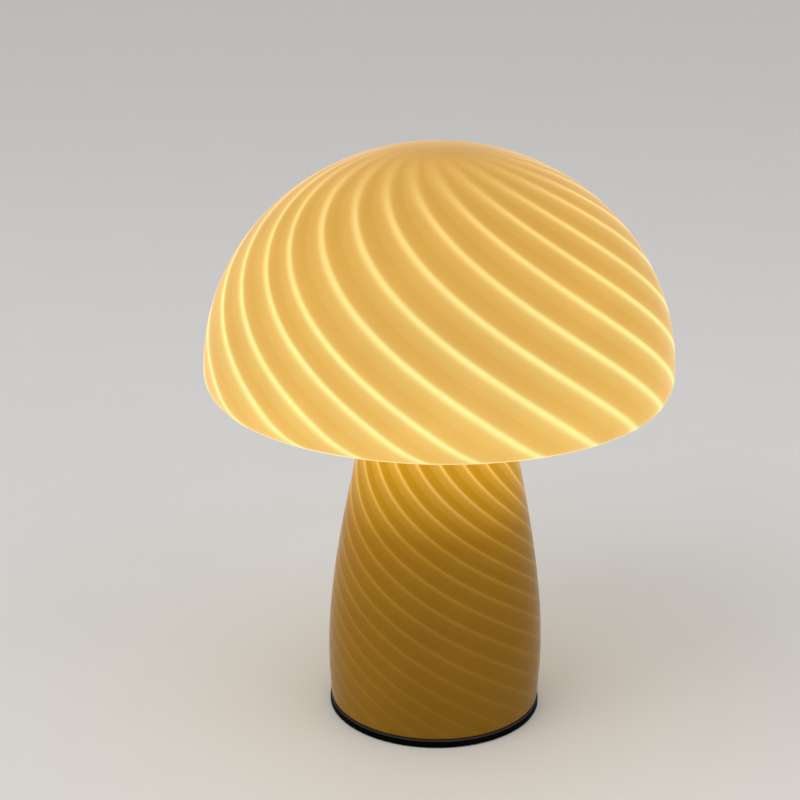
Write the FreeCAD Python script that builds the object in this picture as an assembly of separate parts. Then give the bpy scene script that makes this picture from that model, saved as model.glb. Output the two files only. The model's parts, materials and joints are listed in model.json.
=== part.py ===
import FreeCAD, Part
import math
import os

# Mushroom table lamp: a closed blown-glass cap that rests by its own weight on a seat above a
# blown-glass stem. The cap is one piece of glass, held here as two solids, dome and underside.
# A threaded tube clamps the stem between the black base pan and the seat, and carries the
# lampholder and the bulb inside the cap.
# Millimetres. +Z up, origin on the table under the lamp's axis, front towards -Y, cord exit at +Y.
# Levels are heights above the table.

V = FreeCAD.Vector
UP = V(0, 0, 1)

# ---------------------------------------------------------------- driving dimensions
# Clearances
flat_gap = 0.1            # a piece that drops into a pocket, each side
thread_gap = 0.05         # between engaged threads, radially
glass_gap = 0.3           # between blown glass and what centres it, radially

# Glass cap
cap_radius = 100.0        # at its widest level
cap_crown_rise = 94.4     # widest level to the top of the crown
cap_rim_drop = 11.7       # widest level down to the lowest circle of the rim
cap_rim_tuck = 9.0        # how far the lowest circle lies inside the widest one
cap_underside_rise = 8.0  # lowest circle up to the flat land round the mouth
cap_land_width = 8.0
cap_mouth_radius = 30.0
cap_wall = 3.5

# Glass stem: share of its height and outer radius, foot first; the second point is its belly
stem_outline = ((0.0, 46.5), (0.15, 47.6), (0.35, 46.0), (0.55, 41.8), (0.75, 36.2), (1.0, 29.0))
stem_height = 146.2
stem_wall = 4.0
stem_edge_round = 0.8     # fire-polished edges of foot and rim

# Cord exit through the back of the stem
cord_hole_radius = 5.2
cord_bore_radius = 3.2
grommet_flange_width = 2.4
grommet_lip = 1.8         # how far the flanges stand beyond the glass

# Base pan, pressed from sheet
pan_overhang = 0.6        # pan beyond the stem's foot
pan_sheet = 1.5
pan_skirt_drop = 1.0      # skirt below the underside of the sheet
pan_edge_round = 0.9
crown_radius = 16.0       # raised middle of the pan, room for the foot nut
crown_rise = 7.0
pad_thickness = 1.5

# Base weight and its screws
weight_hub_gap = 2.0      # beside the raised middle of the pan
weight_radius = 37.0
weight_thickness = 12.0
weight_edge_round = 1.5
weight_screw_count = 3
weight_screw_radius = 1.5
weight_screw_head_radius = 2.9
weight_screw_length = 9.0
weight_hole_spare = 1.0   # tapped holes run past the screws' ends
screw_slot_width = 0.8
screw_slot_depth = 0.7

# Rubber gaskets and the cushion under the cap
foot_gasket_thickness = 0.8
foot_gasket_lip = 3.0     # height of the lip inside the glass
foot_gasket_lip_width = 1.2
rim_gasket_thickness = 1.0
cushion_thickness = 2.0

# Threaded tube with its nuts and washers (M10 x 1)
tube_radius = 5.0
tube_bore_radius = 3.6
tube_hole_gap = 0.2
tube_end_below_nut = 0.7
nut_across_flats = 14.0
nut_height = 4.0
nut_chamfer = 0.6
washer_radius = 8.5
washer_thickness = 1.0
tooth_washer_thickness = 0.8
tooth_count = 10
tooth_width = 1.6
wire_slot_width = 4.6
wire_slot_height = 12.0

# Seat that closes the stem and carries the cap
seat_beyond_mouth = 6.0   # under the cap, for the cushion
seat_thickness = 2.5
seat_collar_height = 6.0
seat_collar_width = 1.6
seat_collar_gap = 1.5     # loose in the mouth of the hand-made cap
seat_spigot_depth = 4.0
seat_spigot_width = 2.0
seat_holder_gap = 0.3

# Ring nut on the lampholder
ring_nut_radius = 19.5
ring_nut_height = 5.5
ring_nut_notches = 12
ring_nut_notch_radius = 1.4

# Lampholder for a small (14 mm) screw cap
holder_radius = 14.0
holder_height = 50.0
holder_above_seat = 9.5   # mouth of the holder above the top of the seat
holder_wall = 1.6
holder_plug = 8.0         # solid foot that screws on the tube
holder_foot_round = 4.0
holder_cup_height = 18.0
insert_ledge = 1.0
insert_height = 9.0
insert_floor = 2.0
insert_seat_depth = 3.0   # how deep the insert sits in the cup
contact_room = 5.0        # above the insert, round the screw shell
shell_thickness = 0.4
shell_below_mouth = 2.0
shell_above_insert = 1.5  # the centre strip passes below the screw shell
strip_thickness = 0.6
strip_width = 4.0
terminal_length = 4.5
terminal_width = 5.0
terminal_reach = 10.0     # outer face of a terminal from the axis
terminal_wire_radius = 1.2
terminal_wire_depth = 3.0
terminal_screw_radius = 1.2
terminal_screw_head_radius = 1.6
terminal_screw_head_length = 1.4
terminal_screw_grip = 2.5
lock_screw_radius = 1.5
lock_screw_length = 6.0

# Bulb: small globe lamp with a 14 mm screw cap
bulb_cap_radius = 7.0
bulb_cap_length = 18.0
bulb_cap_wall = 0.5
bulb_thread_depth = 0.6
bulb_thread_pitch = 2.82
bulb_insulator_height = 3.5
bulb_insulator_spigot = 1.0
bulb_insulator_land = 1.0 # beside the tip contact
bulb_tip_radius = 2.4
bulb_tip_height = 1.5
bulb_above_holder = 0.3
housing_foot_radius = 11.5
housing_height = 24.2
housing_wall = 1.4
housing_flare_lag = 1.5   # how little the neck widens over its first third
housing_spigot_length = 5.0
globe_radius = 22.5
globe_rim_radius = 19.6
globe_wall = 1.2
led_board_below_rim = 3.0
led_board_thickness = 1.2
led_count = 8
led_ring_radius = 10.5
led_length = 3.5
led_width = 2.8
led_height = 0.7
driver_width = 8.4
driver_thickness = 1.2

# ---------------------------------------------------------------- levels and shared radii
pan_underside = pad_thickness
pan_top = pan_underside + pan_sheet
crown_underside = pan_underside + crown_rise
crown_top = pan_top + crown_rise
stem_foot = pan_top + foot_gasket_thickness
stem_top = stem_foot + stem_height
seat_underside = stem_top + rim_gasket_thickness
seat_top = seat_underside + seat_thickness
cap_land = seat_top + cushion_thickness
cap_lowest = cap_land - cap_underside_rise
cap_widest = cap_lowest + cap_rim_drop

stem_foot_radius = stem_outline[0][1]
stem_top_radius = stem_outline[-1][1]
belly_share, belly_radius = stem_outline[1]
cord_level = stem_foot + belly_share * stem_height
pan_radius = stem_foot_radius + pan_overhang
seat_radius = cap_mouth_radius + seat_beyond_mouth
seat_collar_radius = cap_mouth_radius - seat_collar_gap
weight_bore_radius = crown_radius + weight_hub_gap
weight_screw_circle = (weight_bore_radius + weight_radius) / 2

foot_nut_top = crown_underside - tooth_washer_thickness
foot_nut_bottom = foot_nut_top - nut_height
tube_bottom = foot_nut_bottom - tube_end_below_nut
holder_mouth = seat_top + holder_above_seat
holder_bottom = holder_mouth - holder_height
tube_top = holder_bottom + holder_plug
cup_rim = holder_bottom + holder_cup_height
insert_bottom = cup_rim - insert_seat_depth
insert_top = insert_bottom + insert_height
insert_radius = holder_radius - holder_wall - flat_gap
shell_radius = bulb_cap_radius + thread_gap
shell_outer_radius = shell_radius + shell_thickness
holder_bore_radius = shell_outer_radius + thread_gap

bulb_cap_top = holder_mouth
bulb_cap_bottom = bulb_cap_top - bulb_cap_length
bulb_tip_top = bulb_cap_bottom - bulb_insulator_height
bulb_tip_bottom = bulb_tip_top - bulb_tip_height
housing_bottom = holder_mouth + bulb_above_holder
housing_rim = housing_bottom + housing_height
globe_centre = housing_rim + math.sqrt(globe_radius ** 2 - globe_rim_radius ** 2)
led_board_top = housing_rim - led_board_below_rim
led_board_bottom = led_board_top - led_board_thickness


# ---------------------------------------------------------------- shape helpers
def at(radius, level):
    """A point of an outline in the plane of the axis."""
    return V(radius, 0, level)


def spin(edges):
    """Solid turned about the lamp's axis from the closed outline that the edges make."""
    return Part.Face(Part.Wire(edges)).revolve(V(0, 0, 0), UP, 360)


def spin_polygon(*points):
    corners = [at(radius, level) for radius, level in points]
    return Part.Face(Part.makePolygon(corners + corners[:1])).revolve(V(0, 0, 0), UP, 360)


def line(start, end):
    return Part.LineSegment(start, end).toShape()


def quarter_ellipse(start, corner, end):
    """A quarter of an ellipse from start to end; corner is where its end tangents meet."""
    curve = Part.BezierCurve()
    curve.setPoles([start, corner, end])
    curve.setWeight(2, math.sqrt(0.5))
    return curve.toShape()


def disc(radius, bottom, top):
    return Part.makeCylinder(radius, top - bottom, V(0, 0, bottom))


def ring(outer, inner, bottom, top):
    return disc(outer, bottom, top).cut(disc(inner, bottom, top))


def block(low, high):
    """A box from its lowest corner to its highest one."""
    size = V(*high) - V(*low)
    return Part.makeBox(size.x, size.y, size.z, V(*low))


def round_about(shape, count, start=0.0):
    """Copies of a shape, evenly spaced round the axis."""
    copies = []
    for index in range(count):
        turned = shape.copy()
        turned.rotate(V(0, 0, 0), UP, start + 360.0 * index / count)
        copies.append(turned)
    return copies


def export(node, solids):
    shape = solids[0] if len(solids) == 1 else Part.makeCompound(solids)
    shape.exportStep("parts/" + node + ".step")


# ---------------------------------------------------------------- glass
def cap_outline(inset):
    """Half outline of the cap from the crown to the land, moved inwards by inset."""
    crown = cap_widest + cap_crown_rise - inset
    widest = cap_radius - inset
    lowest = cap_lowest + inset
    lowest_radius = cap_radius - cap_rim_tuck
    land_radius = cap_mouth_radius + cap_land_width
    run = (lowest_radius - land_radius) / 2
    rise = cap_underside_rise / 2
    sweep = math.atan2(2 * run * rise, run ** 2 - rise ** 2)
    bend = run / math.sin(sweep)
    half = sweep / 2
    middle = at(land_radius + run, lowest + rise)
    outer_mid = at(lowest_radius - bend * math.sin(half), lowest + bend * (1 - math.cos(half)))
    inner_mid = at(land_radius + bend * math.sin(half),
                   lowest + 2 * rise - bend * (1 - math.cos(half)))
    return [
        quarter_ellipse(at(0, crown), at(widest, crown), at(widest, cap_widest)),
        quarter_ellipse(at(widest, cap_widest), at(widest, lowest), at(lowest_radius, lowest)),
        Part.Arc(at(lowest_radius, lowest), outer_mid, middle).toShape(),
        Part.Arc(middle, inner_mid, at(land_radius, lowest + 2 * rise)).toShape(),
        line(at(land_radius, lowest + 2 * rise), at(cap_mouth_radius, lowest + 2 * rise)),
    ]


def cap_glass_edge():
    """Cut through the wall at the widest level, where the dome meets the underside."""
    return line(at(cap_radius - cap_wall, cap_widest), at(cap_radius, cap_widest))


def cap_dome():
    """The cap above its widest level."""
    crown = cap_widest + cap_crown_rise
    crown_edge = line(at(0, crown - cap_wall), at(0, crown))
    return spin([crown_edge, cap_outline(0)[0], cap_glass_edge(), cap_outline(cap_wall)[0]])


def cap_underside():
    """The cap below its widest level: rim, closed underside and the land round the mouth."""
    mouth_edge = line(at(cap_mouth_radius, cap_land), at(cap_mouth_radius, cap_land + cap_wall))
    outer = cap_outline(0)[1:]
    inner = cap_outline(cap_wall)[1:]
    return spin(outer + [mouth_edge] + inner[::-1] + [cap_glass_edge()])


def stem_side(inset):
    """Side outline of the stem from foot to rim, moved inwards by inset."""
    curve = Part.BSplineCurve()
    curve.interpolate([at(radius - inset, stem_foot + share * stem_height)
                       for share, radius in stem_outline])
    return curve.toShape()


def stem_filled(inset):
    """The stem as a filled body, moved inwards by inset."""
    foot = at(stem_foot_radius - inset, stem_foot)
    rim = at(stem_top_radius - inset, stem_top)
    return spin([stem_side(inset), line(rim, at(0, stem_top)),
                 line(at(0, stem_top), at(0, stem_foot)), line(at(0, stem_foot), foot)])


def back_cylinder(radius, start, end):
    """Cylinder along +Y at the cord's level."""
    return Part.makeCylinder(radius, end - start, V(0, start, cord_level), V(0, 1, 0))


def stem_glass():
    foot_outer = at(stem_foot_radius, stem_foot)
    foot_inner = at(stem_foot_radius - stem_wall, stem_foot)
    rim_outer = at(stem_top_radius, stem_top)
    rim_inner = at(stem_top_radius - stem_wall, stem_top)
    shell = spin([stem_side(0), line(rim_outer, rim_inner),
                  stem_side(stem_wall), line(foot_inner, foot_outer)])
    edges = [edge for edge in shell.Edges
             if edge.BoundBox.ZLength < 0.01 and edge.Closed]
    shell = shell.makeFillet(stem_edge_round, edges)
    return shell.cut(back_cylinder(cord_hole_radius, 0, 2 * belly_radius))


def cord_grommet():
    flange_radius = cord_hole_radius + grommet_flange_width
    outer_end = belly_radius + grommet_lip
    inner_wall = belly_radius - stem_wall
    inner_end = math.sqrt(inner_wall ** 2 - flange_radius ** 2) - grommet_lip
    shank = back_cylinder(cord_hole_radius - flat_gap, inner_end, outer_end)
    outside = back_cylinder(flange_radius, inner_wall, outer_end).cut(stem_filled(-flat_gap))
    inside = back_cylinder(flange_radius, inner_end, belly_radius)
    inside = inside.common(stem_filled(stem_wall + flat_gap))
    bush = shank.fuse([outside, inside]).removeSplitter()
    return bush.cut(back_cylinder(cord_bore_radius, 0, 2 * belly_radius))


# ---------------------------------------------------------------- base
def weight_screw_bore(radius, bottom, top):
    return Part.makeCylinder(radius, top - bottom, V(weight_screw_circle, 0, bottom))


def foot_pad():
    """Soft ring under the pan, open in the middle so that the foot nut can be reached."""
    return ring(pan_radius - pan_sheet - glass_gap, crown_radius, 0, pan_underside)


def base_pan():
    skirt_bottom = pan_underside - pan_skirt_drop
    pan = disc(pan_radius, skirt_bottom, pan_top)
    top_edge = [edge for edge in pan.Edges
                if edge.BoundBox.ZMin > pan_top - 0.01 and edge.Closed]
    pan = pan.makeFillet(pan_edge_round, top_edge)
    pan = pan.cut(disc(pan_radius - pan_sheet, skirt_bottom, pan_underside))
    pan = pan.fuse(disc(crown_radius, pan_underside, crown_top)).removeSplitter()
    pan = pan.cut(disc(crown_radius - pan_sheet, pan_underside, crown_underside))
    pan = pan.cut(disc(tube_radius + tube_hole_gap, crown_underside, crown_top))
    countersink = Part.makeCone(weight_screw_head_radius + flat_gap, weight_screw_radius + flat_gap,
                                pan_sheet, V(weight_screw_circle, 0, pan_underside))
    return pan.cut(round_about(countersink, weight_screw_count))


def base_weight():
    weight = ring(weight_radius, weight_bore_radius, pan_top, pan_top + weight_thickness)
    top_edges = [edge for edge in weight.Edges
                 if edge.BoundBox.ZMin > pan_top + weight_thickness - 0.01]
    weight = weight.makeFillet(weight_edge_round, top_edges)
    hole = weight_screw_bore(weight_screw_radius, pan_top,
                             pan_underside + weight_screw_length + weight_hole_spare)
    return weight.cut(round_about(hole, weight_screw_count))


def weight_screws():
    head = Part.makeCone(weight_screw_head_radius, weight_screw_radius - thread_gap,
                         pan_sheet, V(weight_screw_circle, 0, pan_underside))
    shank = weight_screw_bore(weight_screw_radius - thread_gap, pan_top,
                              pan_underside + weight_screw_length)
    half_slot = screw_slot_width / 2
    slot = block((weight_screw_circle - weight_screw_head_radius, -half_slot, pan_underside),
                 (weight_screw_circle + weight_screw_head_radius, half_slot,
                  pan_underside + screw_slot_depth))
    screw = head.fuse(shank).removeSplitter().cut(slot)
    return round_about(screw, weight_screw_count)


def foot_gasket():
    lip_outer = stem_foot_radius - stem_wall - glass_gap
    lip_inner = lip_outer - foot_gasket_lip_width
    flange_outer = stem_foot_radius + pan_overhang / 2
    return spin_polygon((lip_inner, pan_top), (flange_outer, pan_top), (flange_outer, stem_foot),
                        (lip_outer, stem_foot), (lip_outer, stem_foot + foot_gasket_lip),
                        (lip_inner, stem_foot + foot_gasket_lip))


# ---------------------------------------------------------------- tube, nuts and washers
def stand_tube():
    tube = ring(tube_radius, tube_bore_radius, tube_bottom, tube_top)
    half_slot = wire_slot_width / 2
    straight = (wire_slot_height - wire_slot_width) / 2
    slot = block((-half_slot, 0, cord_level - straight),
                 (half_slot, 2 * tube_radius, cord_level + straight))
    for level in (cord_level - straight, cord_level + straight):
        slot = slot.fuse(Part.makeCylinder(half_slot, 2 * tube_radius, V(0, 0, level), V(0, 1, 0)))
    return tube.cut(slot)


def hex_nut(bottom):
    corner_radius = nut_across_flats / math.sqrt(3)
    corners = [V(corner_radius * math.cos(math.radians(60 * index)),
                 corner_radius * math.sin(math.radians(60 * index)), bottom) for index in range(7)]
    prism = Part.Face(Part.makePolygon(corners)).extrude(V(0, 0, nut_height))
    flat_radius = nut_across_flats / 2
    turned = spin_polygon((0, bottom), (flat_radius, bottom), (corner_radius, bottom + nut_chamfer),
                          (corner_radius, bottom + nut_height - nut_chamfer),
                          (flat_radius, bottom + nut_height), (0, bottom + nut_height))
    bore = disc(tube_radius + thread_gap, bottom, bottom + nut_height)
    return prism.common(turned).cut(bore)


def tooth_washer(bottom):
    """Washer with outer teeth that bite the pan and keep the tube from turning."""
    body_radius = washer_radius - tooth_width
    body = disc(body_radius, bottom, bottom + tooth_washer_thickness)
    tooth = block((tube_radius, -tooth_width / 2, bottom),
                  (washer_radius, tooth_width / 2, bottom + tooth_washer_thickness))
    body = body.fuse(round_about(tooth, tooth_count)).removeSplitter()
    return body.cut(disc(tube_radius + tube_hole_gap, bottom, bottom + tooth_washer_thickness))


# ---------------------------------------------------------------- seat of the cap
def cap_seat():
    seat = disc(seat_radius, seat_underside, seat_top)
    collar = ring(seat_collar_radius, seat_collar_radius - seat_collar_width,
                  seat_top, seat_top + seat_collar_height)
    spigot_radius = stem_top_radius - stem_wall - glass_gap
    spigot = ring(spigot_radius, spigot_radius - seat_spigot_width,
                  seat_underside - seat_spigot_depth, seat_underside)
    seat = seat.fuse([collar, spigot]).removeSplitter()
    return seat.cut(disc(holder_radius + seat_holder_gap, seat_underside, seat_top))


def rim_gasket():
    outer = stem_top_radius + glass_gap
    inner = stem_top_radius - stem_wall
    return ring(outer, inner, stem_top, seat_underside)


def seat_cushion():
    return ring(seat_radius - glass_gap, seat_collar_radius + flat_gap, seat_top, cap_land)


def ring_nut():
    nut = ring(ring_nut_radius, holder_radius + thread_gap, seat_top, seat_top + ring_nut_height)
    notch = Part.makeCylinder(ring_nut_notch_radius, ring_nut_height,
                              V(ring_nut_radius, 0, seat_top))
    return nut.cut(round_about(notch, ring_nut_notches))


# ---------------------------------------------------------------- lampholder
def holder_cup():
    cup = disc(holder_radius, holder_bottom, cup_rim)
    foot_edge = [edge for edge in cup.Edges
                 if edge.BoundBox.ZMax < holder_bottom + 0.01 and edge.Closed]
    cup = cup.makeFillet(holder_foot_round, foot_edge)
    cup = cup.cut(disc(holder_radius - holder_wall - insert_ledge, tube_top, insert_bottom))
    cup = cup.cut(disc(holder_radius - holder_wall, insert_bottom, cup_rim))
    cup = cup.cut(disc(tube_radius + thread_gap, holder_bottom, tube_top))
    lock_hole = Part.makeCylinder(lock_screw_radius + thread_gap, holder_radius,
                                  V(0, 0, holder_bottom + holder_plug / 2), V(1, 0, 0))
    return cup.cut(lock_hole)


def lock_screw():
    end = tube_radius + lock_screw_length
    screw = Part.makeCylinder(lock_screw_radius, lock_screw_length,
                              V(tube_radius, 0, holder_bottom + holder_plug / 2), V(1, 0, 0))
    slot = block((end - screw_slot_depth, -screw_slot_width / 2, holder_bottom),
                 (end, screw_slot_width / 2, tube_top))
    return screw.cut(slot)


def terminal_pocket(side, gap):
    """Space of one terminal in the insert; side is 1 or -1 along X."""
    near = terminal_reach - terminal_length - gap
    far = terminal_reach + gap
    return block((min(side * near, side * far), -terminal_width / 2 - gap,
                  insert_bottom + insert_floor),
                 (max(side * near, side * far), terminal_width / 2 + gap, insert_top))


def terminal_screw_axis(side, radius, start, end):
    level = insert_bottom + (insert_height + insert_floor) / 2
    return Part.makeCylinder(radius, end - start, V(side * start, 0, level), V(side, 0, 0))


def wire_hole(side, bottom, top):
    middle = terminal_reach - terminal_length / 2
    return Part.makeCylinder(terminal_wire_radius, top - bottom, V(side * middle, 0, bottom))


def holder_insert():
    insert = disc(insert_radius, insert_bottom, insert_top)
    for side in (1, -1):
        insert = insert.cut(terminal_pocket(side, flat_gap))
        insert = insert.cut(wire_hole(side, insert_bottom, insert_bottom + insert_floor))
        insert = insert.cut(terminal_screw_axis(side, terminal_screw_head_radius + flat_gap,
                                                terminal_reach, holder_radius))
    return insert


def holder_terminals():
    terminals = []
    for side in (1, -1):
        floor = insert_bottom + insert_floor
        terminal = terminal_pocket(side, 0).cut(wire_hole(side, floor, floor + terminal_wire_depth))
        start = terminal_reach - terminal_screw_grip
        bore = terminal_screw_axis(side, terminal_screw_radius + thread_gap, start, terminal_reach)
        terminals.append(terminal.cut(bore))
    return terminals


def terminal_screws():
    screws = []
    for side in (1, -1):
        head_end = terminal_reach + terminal_screw_head_length
        head = terminal_screw_axis(side, terminal_screw_head_radius, terminal_reach, head_end)
        shank = terminal_screw_axis(side, terminal_screw_radius,
                                    terminal_reach - terminal_screw_grip, terminal_reach)
        screws.append(head.fuse(shank).removeSplitter())
    return screws


def holder_sleeve():
    """Upper part of the holder; its outside carries the thread of the ring nut."""
    sleeve = disc(holder_radius, cup_rim, holder_mouth)
    sleeve = sleeve.cut(disc(holder_radius - holder_wall, cup_rim, insert_top + contact_room))
    return sleeve.cut(disc(holder_bore_radius, cup_rim, holder_mouth))


def screw_shell():
    return ring(shell_outer_radius, shell_radius,
                insert_top + shell_above_insert, holder_mouth - shell_below_mouth)


def centre_contact():
    """Bent strip from the -X terminal, with a spring arm under the bulb's tip."""
    half = strip_width / 2
    arm_top = bulb_tip_bottom
    arm_bottom = arm_top - strip_thickness
    foot = block((-terminal_reach, -half, insert_top),
                 (shell_radius / 2, half, insert_top + strip_thickness))
    upright = block((shell_radius / 2, -half, insert_top),
                    (shell_radius / 2 + strip_thickness, half, arm_top))
    arm = block((-bulb_tip_radius, -half, arm_bottom),
                (shell_radius / 2 + strip_thickness, half, arm_top))
    return foot.fuse([upright, arm]).removeSplitter()


def side_contact():
    """Bent strip from the +X terminal, up against the outside of the screw shell."""
    half = strip_width / 2
    near = shell_outer_radius + thread_gap
    foot = block((near, -half, insert_top), (terminal_reach, half, insert_top + strip_thickness))
    upright = block((near, -half, insert_top),
                    (near + strip_thickness, half, insert_top + contact_room - flat_gap))
    return foot.fuse(upright).removeSplitter()


# ---------------------------------------------------------------- bulb
def bulb_screw_cap():
    """Screw cap with its rounded thread as crests and roots."""
    crest = bulb_cap_radius
    root = crest - bulb_thread_depth
    inner = root - bulb_cap_wall
    turns = int(bulb_cap_length // bulb_thread_pitch)
    thread_bottom = bulb_cap_top - turns * bulb_thread_pitch
    edges = [line(at(inner, bulb_cap_bottom), at(root, bulb_cap_bottom)),
             line(at(root, bulb_cap_bottom), at(root, thread_bottom))]
    for turn in range(turns):
        low = thread_bottom + turn * bulb_thread_pitch
        edges.append(Part.Arc(at(root, low), at(crest, low + bulb_thread_pitch / 2),
                              at(root, low + bulb_thread_pitch)).toShape())
    edges.append(line(at(root, bulb_cap_top), at(inner, bulb_cap_top)))
    edges.append(line(at(inner, bulb_cap_top), at(inner, bulb_cap_bottom)))
    return spin(edges)


def bulb_insulator():
    root = bulb_cap_radius - bulb_thread_depth
    plug = root - bulb_cap_wall - thread_gap
    tip = bulb_tip_radius + bulb_insulator_land
    spigot_top = bulb_cap_bottom + bulb_insulator_spigot
    return spin_polygon((0, bulb_tip_top), (tip, bulb_tip_top), (root, bulb_cap_bottom),
                        (plug, bulb_cap_bottom), (plug, spigot_top), (0, spigot_top))


def bulb_tip():
    return disc(bulb_tip_radius, bulb_tip_bottom, bulb_tip_top)


def bulb_housing():
    """Plastic neck: spigot in the screw cap, flaring wall, ledge for the board, rim for the globe."""
    spigot_radius = bulb_cap_radius - bulb_thread_depth - bulb_cap_wall - thread_gap
    spigot_bottom = housing_bottom - housing_spigot_length
    spigot_bore = spigot_radius - housing_wall / 2
    floor = housing_bottom + housing_wall
    floor_radius = housing_foot_radius - 2 * housing_wall
    board_radius = globe_rim_radius - 2 * housing_wall
    ledge_radius = board_radius - housing_wall
    flare = (at(housing_foot_radius, housing_bottom),
             at(housing_foot_radius + housing_flare_lag, housing_bottom + housing_height / 3),
             at(globe_rim_radius, housing_rim))
    outer = Part.Arc(*flare).toShape()
    return spin([
        outer,
        line(at(globe_rim_radius, housing_rim), at(board_radius, housing_rim)),
        line(at(board_radius, housing_rim), at(board_radius, led_board_bottom)),
        line(at(board_radius, led_board_bottom), at(ledge_radius, led_board_bottom)),
        line(at(ledge_radius, led_board_bottom), at(floor_radius, floor)),
        line(at(floor_radius, floor), at(spigot_bore, floor)),
        line(at(spigot_bore, floor), at(spigot_bore, spigot_bottom)),
        line(at(spigot_bore, spigot_bottom), at(spigot_radius, spigot_bottom)),
        line(at(spigot_radius, spigot_bottom), at(spigot_radius, housing_bottom)),
        line(at(spigot_radius, housing_bottom), at(housing_foot_radius, housing_bottom)),
    ])


def led_board():
    return disc(globe_rim_radius - 2 * housing_wall - flat_gap, led_board_bottom, led_board_top)


def led_chips():
    chip = block((led_ring_radius - led_width / 2, -led_length / 2, led_board_top),
                 (led_ring_radius + led_width / 2, led_length / 2, led_board_top + led_height))
    return round_about(chip, led_count)


def driver_board():
    half = driver_width / 2
    bottom = housing_bottom - housing_spigot_length
    return block((-half, -driver_thickness / 2, bottom), (half, driver_thickness / 2, led_board_bottom))


def bulb_globe():
    outer = Part.makeSphere(globe_radius, V(0, 0, globe_centre))
    inner = Part.makeSphere(globe_radius - globe_wall, V(0, 0, globe_centre))
    below = disc(2 * globe_radius, globe_centre - 2 * globe_radius, housing_rim)
    return outer.cut(inner).cut(below)


# ---------------------------------------------------------------- write the nodes
os.makedirs("parts", exist_ok=True)

single_pieces = {
    "cap_glass": cap_dome(),
    "cap_underside": cap_underside(),
    "stem_glass": stem_glass(),
    "cord_grommet": cord_grommet(),
    "foot_pad": foot_pad(),
    "base_pan": base_pan(),
    "base_weight": base_weight(),
    "foot_gasket": foot_gasket(),
    "stand_tube": stand_tube(),
    "foot_nut": hex_nut(foot_nut_bottom),
    "foot_tooth_washer": tooth_washer(foot_nut_top),
    "pan_washer": ring(washer_radius, tube_radius + tube_hole_gap,
                       crown_top, crown_top + washer_thickness),
    "pan_nut": hex_nut(crown_top + washer_thickness),
    "rim_gasket": rim_gasket(),
    "cap_seat": cap_seat(),
    "seat_cushion": seat_cushion(),
    "holder_ring_nut": ring_nut(),
    "holder_cup": holder_cup(),
    "holder_lock_screw": lock_screw(),
    "holder_insert": holder_insert(),
    "holder_sleeve": holder_sleeve(),
    "holder_screw_shell": screw_shell(),
    "holder_centre_contact": centre_contact(),
    "holder_side_contact": side_contact(),
    "bulb_screw_cap": bulb_screw_cap(),
    "bulb_insulator": bulb_insulator(),
    "bulb_tip_contact": bulb_tip(),
    "bulb_housing": bulb_housing(),
    "bulb_led_board": led_board(),
    "bulb_driver_board": driver_board(),
    "bulb_globe": bulb_globe(),
}
for node, solid in single_pieces.items():
    export(node, [solid])

export("base_weight_screws", weight_screws())
export("holder_terminals", holder_terminals())
export("holder_terminal_screws", terminal_screws())
export("bulb_led_chips", led_chips())
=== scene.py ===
import json
import math
import random

import bpy
import numpy as np
from mathutils import Matrix, Vector


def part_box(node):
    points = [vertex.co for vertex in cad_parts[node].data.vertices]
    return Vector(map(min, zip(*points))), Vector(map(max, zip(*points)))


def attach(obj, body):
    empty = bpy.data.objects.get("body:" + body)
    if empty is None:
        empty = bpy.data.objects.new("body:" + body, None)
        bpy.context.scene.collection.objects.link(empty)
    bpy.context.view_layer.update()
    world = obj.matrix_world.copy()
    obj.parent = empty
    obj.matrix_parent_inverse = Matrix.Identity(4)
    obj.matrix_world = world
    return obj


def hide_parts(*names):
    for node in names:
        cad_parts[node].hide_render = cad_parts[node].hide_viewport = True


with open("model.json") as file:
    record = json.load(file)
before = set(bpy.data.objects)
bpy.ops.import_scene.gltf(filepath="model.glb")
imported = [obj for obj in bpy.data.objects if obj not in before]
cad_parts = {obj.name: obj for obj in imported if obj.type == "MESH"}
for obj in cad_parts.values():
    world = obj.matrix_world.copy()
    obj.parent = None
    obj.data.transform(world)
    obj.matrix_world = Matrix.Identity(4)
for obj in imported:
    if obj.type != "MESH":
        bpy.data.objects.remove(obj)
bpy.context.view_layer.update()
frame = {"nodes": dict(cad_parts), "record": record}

# Looks of the mushroom table lamp, lit from inside. Metres, same frame as the solids.

MM = 0.001
# Keeps a division by a length off zero.
TINY = 1e-9
# A row of a turned mesh that is closer to the axis than this is one point.
POINT_RADIUS = 1e-7
# The spacing of the lines is reckoned at no smaller radius than this.
SMALLEST_SPACING_RADIUS = 0.1 * MM

# ---------------------------------------------------------------- sizes
# The cap: its outline is that of the two solids, closed underneath with a round mouth.
CAP_NODES = ("cap_glass", "cap_underside")
CAP_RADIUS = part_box(CAP_NODES[0])[1][0]
CAP_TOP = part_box(CAP_NODES[0])[1][2]
CAP_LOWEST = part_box(CAP_NODES[-1])[0][2]
CAP_RIM_DROP = 11.7 * MM
CAP_RIM_TUCK = 9.0 * MM
CAP_UNDERSIDE_RISE = 8.0 * MM
CAP_LAND_WIDTH = 8.0 * MM
CAP_MOUTH_RADIUS = 30.0 * MM
CAP_WALL = 3.5 * MM
CAP_LINES = 23
CAP_COLUMNS_PER_LINE = 16
CAP_OUTER_ROWS = 96
CAP_INNER_ROWS = 48
CAP_EDGE_ROWS = 7
CAP_LAND_ROWS = 5
CAP_RELIEF = 0.06 * MM
# The lines come up out of the plain crown over this way, measured along the outline.
CAP_LINES_START = 16 * MM
CAP_LINES_RISE = 50 * MM

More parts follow.
